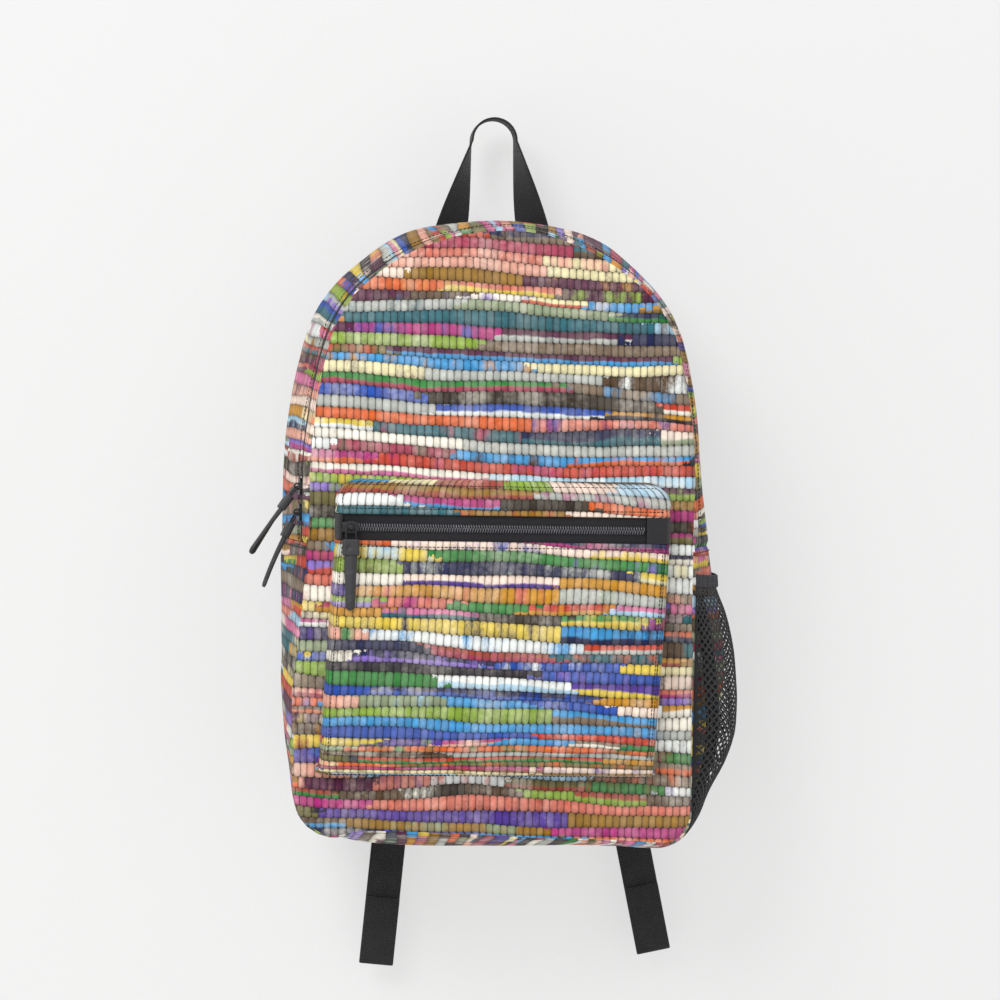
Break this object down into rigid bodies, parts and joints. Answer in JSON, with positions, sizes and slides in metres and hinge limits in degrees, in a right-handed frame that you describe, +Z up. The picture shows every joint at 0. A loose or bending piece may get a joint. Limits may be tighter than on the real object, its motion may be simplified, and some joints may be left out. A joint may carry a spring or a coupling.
{
  "type": "backpack",
  "caption": "Printed cloth daypack hung by its haul loop: arched zipped body, boxed zipped front pocket, net side pocket, padded shoulder straps with webbing tails.",
  "frame": {"origin": "inner top of the haul loop, where a hook bears", "axes": "+Z up, -Y out of the front, +X to the right seen from the front"},
  "size_m": [0.3509, 0.1993, 0.623],
  "materials": {
    "printed_cloth": "printed multicolour rag-weave cloth, matt",
    "black_cloth": "black woven cloth, matt",
    "webbing": "ribbed black webbing",
    "zip_coil": "black nylon coil",
    "slider_metal": "black painted die casting",
    "pull_rubber": "moulded soft black rubber",
    "net": "black stretch net",
    "lock_plastic": "moulded black plastic"
  },
  "bodies": {
    "bag": {"front_panel": "printed_cloth", "gusset_front_strip": "printed_cloth", "gusset_rear_strip": "printed_cloth", "lower_gusset": "printed_cloth", "pocket_front_panel": "printed_cloth", "pocket_top_panel": "printed_cloth", "back_panel": "black_cloth", "main_zip_tape_front": "black_cloth", "main_zip_tape_rear": "black_cloth", "pocket_zip_tape_upper": "black_cloth", "pocket_zip_tape_lower": "black_cloth", "pocket_zip_end_left": "black_cloth", "pocket_zip_end_right": "black_cloth", "side_net_binding": "black_cloth", "strap_yoke": "black_cloth", "strap_wing_left": "black_cloth", "strap_wing_right": "black_cloth", "shoulder_strap_left": "black_cloth", "shoulder_strap_right": "black_cloth", "main_zip_coil": "zip_coil", "pocket_zip_coil": "zip_coil", "side_net": "net", "haul_loop": "webbing", "strap_webbing_left": "webbing", "strap_webbing_right": "webbing", "lock_loop_left": "webbing", "lock_loop_right": "webbing", "ladder_lock_left": "lock_plastic", "ladder_lock_right": "lock_plastic"},
    "pocket_slider": {"pocket_zip_slider": "slider_metal"},
    "pocket_pull": {"pocket_zip_bail": "slider_metal", "pocket_zip_pull": "pull_rubber"},
    "upper_slider": {"main_zip_upper_slider": "slider_metal"},
    "upper_pull": {"main_zip_upper_bail": "slider_metal", "main_zip_upper_pull": "pull_rubber"},
    "lower_slider": {"main_zip_lower_slider": "slider_metal"},
    "lower_pull": {"main_zip_lower_bail": "slider_metal", "main_zip_lower_pull": "pull_rubber"}
  },
  "joints": [
    {"name": "pocket_zip_run", "type": "slide", "parent": "bag", "child": "pocket_slider", "axis": [1, 0, 0], "range_m": [0, 0.195]},
    {"name": "pocket_pull_lift", "type": "hinge", "parent": "pocket_slider", "child": "pocket_pull", "pos_m": [-0.10546, -0.1667, -0.2912], "axis": [-1, 0, 0], "range_deg": [0, 150]},
    {"name": "upper_zip_run", "type": "hinge", "parent": "bag", "child": "upper_slider", "pos_m": [0.27, -0.1181, -0.26887], "axis": [0, 1, 0], "range_deg": [0, 13]},
    {"name": "upper_pull_swing", "type": "hinge", "parent": "upper_slider", "child": "upper_pull", "pos_m": [-0.14186, -0.11856, -0.26527], "axis": [-0.1774, 0.9841, 0.0016], "range_deg": [-4, 110]},
    {"name": "lower_zip_run", "type": "slide", "parent": "bag", "child": "lower_slider", "axis": [0, 0, 1], "range_m": [-0.012, 0.004]},
    {"name": "lower_pull_swing", "type": "hinge", "parent": "lower_slider", "child": "lower_pull", "pos_m": [-0.14188, -0.11856, -0.2832], "axis": [-0.1774, 0.9841, 0], "range_deg": [-15, 15]}
  ]
}
